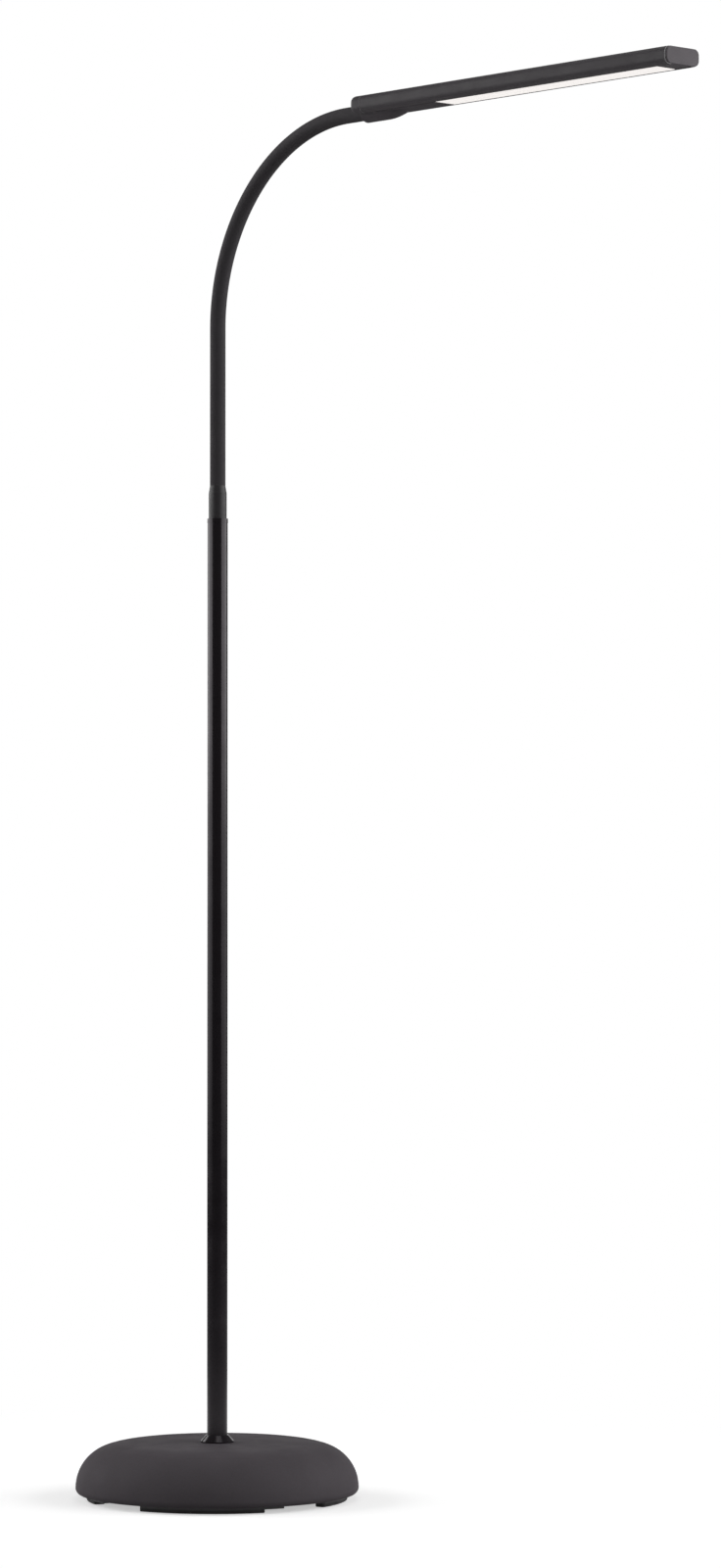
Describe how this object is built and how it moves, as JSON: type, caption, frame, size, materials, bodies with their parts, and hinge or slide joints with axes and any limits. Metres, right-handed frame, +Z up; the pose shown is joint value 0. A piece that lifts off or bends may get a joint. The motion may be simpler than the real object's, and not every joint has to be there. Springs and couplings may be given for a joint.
{
  "type": "gooseneck reading floor lamp",
  "caption": "Floor lamp with a slim light bar on a flexible gooseneck, a straight slender pole and a domed round weighted base.",
  "frame": {"origin": "on the floor plane, on the pole's axis, at the centre of the round base", "axes": "+Z up along the pole; +X from the pole towards the light bar, which is level at rest; +Y to the left when looking along +X; X-Z is the lamp's middle plane"},
  "size_m": [0.698, 0.25, 1.218],
  "materials": {
    "shell_plastic": "fine-textured dark grey moulding",
    "plate_plastic": "plain black moulding",
    "weight_iron": "rough cast, oiled",
    "screw_steel": "zinc-plated",
    "stud_steel": "zinc-plated, hollow threaded tube",
    "socket_plastic": "black moulding",
    "nickel": "nickel-plated",
    "pole_paint": "gloss black lacquer on steel",
    "ferrule_paint": "satin black lacquer on steel",
    "core_steel": "wound wire, oiled",
    "sleeve_rubber": "smooth matte black sleeve",
    "lead_jacket": "black jacket",
    "bar_coat": "fine matte dark grey coat",
    "saddle_plastic": "fine matte dark grey moulding",
    "opal_diffuser": "opal, lit warm white",
    "reflector_white": "matte white",
    "board_green": "green solder mask on glass laminate",
    "board_white": "white solder mask on glass laminate",
    "tape_grey": "grey thermal tape",
    "chip_cream": "phosphor over a white case",
    "component_black": "moulded",
    "capacitor_can": "sleeved can",
    "connector_white": "moulded",
    "wire_red": "insulated wire",
    "touch_plastic": "gloss black moulding",
    "spring_bronze": "contact spring",
    "pad_rubber": "black rubber"
  },
  "bodies": {
    "stand": {"base_cover": "shell_plastic", "base_plate": "plate_plastic", "base_weight": "weight_iron", "plate_screws": "screw_steel", "hollow_stud": "stud_steel", "stud_washer": "screw_steel", "stud_nut": "screw_steel", "power_socket": "socket_plastic", "socket_nut": "nickel", "pole_foot_plug": "stud_steel", "pole": "pole_paint", "pole_collar": "pole_paint", "pole_ring": "pole_paint", "lower_ferrule": "ferrule_paint", "foot_pad_front_right": "pad_rubber", "foot_pad_front_left": "pad_rubber", "foot_pad_rear_left": "pad_rubber", "foot_pad_rear_right": "pad_rubber", "neck_core_00": "core_steel", "neck_sleeve": "sleeve_rubber", "supply_lead": "lead_jacket"},
    "neck_link_01": {"neck_core_01": "core_steel"},
    "neck_link_02": {"neck_core_02": "core_steel"},
    "neck_link_03": {"neck_core_03": "core_steel"},
    "neck_link_04": {"neck_core_04": "core_steel"},
    "neck_link_05": {"neck_core_05": "core_steel"},
    "neck_link_06": {"neck_core_06": "core_steel"},
    "neck_link_07": {"neck_core_07": "core_steel"},
    "neck_link_08": {"neck_core_08": "core_steel"},
    "neck_link_09": {"neck_core_09": "core_steel"},
    "neck_link_10": {"neck_core_10": "core_steel"},
    "neck_link_11": {"neck_core_11": "core_steel"},
    "neck_link_12": {"neck_core_12": "core_steel"},
    "neck_link_13": {"neck_core_13": "core_steel"},
    "light_bar": {"neck_core_14": "core_steel", "upper_ferrule": "stud_steel", "clamp_nut": "screw_steel", "root_cap": "bar_coat", "set_screws": "screw_steel", "neck_saddle": "saddle_plastic", "bar_housing": "bar_coat", "tip_cap": "saddle_plastic", "diffuser": "opal_diffuser", "reflector": "reflector_white", "led_board": "board_white", "thermal_tape": "tape_grey", "led_chips": "chip_cream", "driver_board": "board_green", "driver_inductor": "component_black", "driver_capacitors": "capacitor_can", "driver_chip": "component_black", "lead_connector": "connector_white", "board_screws": "screw_steel", "jumper_wires": "wire_red", "touch_pad": "touch_plastic", "touch_contact": "spring_bronze"}
  },
  "joints": [
    {"name": "neck_bend_01", "type": "hinge", "parent": "stand", "child": "neck_link_01", "pos_m": [0, 0, 0.91044], "axis": [0, 1, 0], "range_deg": [-25.1, 25.1], "deforming": ["neck_sleeve", "supply_lead"]},
    {"name": "neck_sway_01", "type": "hinge", "parent": "neck_link_01", "child": "neck_link_02", "pos_m": [0, 0, 0.94113], "axis": [1, 0, 0], "range_deg": [-20, 20]},
    {"name": "neck_bend_02", "type": "hinge", "parent": "neck_link_02", "child": "neck_link_03", "pos_m": [0, 0, 0.97181], "axis": [0, 1, 0], "range_deg": [-25.1, 25.1]},
    {"name": "neck_sway_02", "type": "hinge", "parent": "neck_link_03", "child": "neck_link_04", "pos_m": [0, 0, 1.0025], "axis": [1, 0, 0], "range_deg": [-20, 20]},
    {"name": "neck_bend_03", "type": "hinge", "parent": "neck_link_04", "child": "neck_link_05", "pos_m": [0, 0, 1.03319], "axis": [0, 1, 0], "range_deg": [-34.9, 15.3]},
    {"name": "neck_sway_03", "type": "hinge", "parent": "neck_link_05", "child": "neck_link_06", "pos_m": [0.0025, 0, 1.06373], "axis": [0.9854, 0, -0.1704], "range_deg": [-20, 20]},
    {"name": "neck_bend_04", "type": "hinge", "parent": "neck_link_06", "child": "neck_link_07", "pos_m": [0.0104, 0, 1.09334], "axis": [0, 1, 0], "range_deg": [-45.7, 4.6]},
    {"name": "neck_sway_04", "type": "hinge", "parent": "neck_link_07", "child": "neck_link_08", "pos_m": [0.02347, 0, 1.12106], "axis": [0.8628, 0, -0.5056], "range_deg": [-20, 20]},
    {"name": "neck_bend_05", "type": "hinge", "parent": "neck_link_08", "child": "neck_link_09", "pos_m": [0.04127, 0, 1.146], "axis": [0, 1, 0], "range_deg": [-45.7, 4.6]},
    {"name": "neck_sway_05", "type": "hinge", "parent": "neck_link_09", "child": "neck_link_10", "pos_m": [0.06324, 0, 1.16737], "axis": [0.6302, 0, -0.7764], "range_deg": [-20, 20]},
    {"name": "neck_bend_06", "type": "hinge", "parent": "neck_link_10", "child": "neck_link_11", "pos_m": [0.08867, 0, 1.18447], "axis": [0, 1, 0], "range_deg": [-45.7, 4.6]},
    {"name": "neck_sway_06", "type": "hinge", "parent": "neck_link_11", "child": "neck_link_12", "pos_m": [0.11674, 0, 1.19676], "axis": [0.3173, 0, -0.9483], "range_deg": [-20, 20]},
    {"name": "neck_bend_07", "type": "hinge", "parent": "neck_link_12", "child": "neck_link_13", "pos_m": [0.14655, 0, 1.20384], "axis": [0, 1, 0], "range_deg": [-43.6, 6.6]},
    {"name": "neck_sway_07", "type": "hinge", "parent": "neck_link_13", "child": "light_bar", "pos_m": [0.17716, 0, 1.2056], "axis": [0, 0, -1], "range_deg": [-20, 20]}
  ]
}
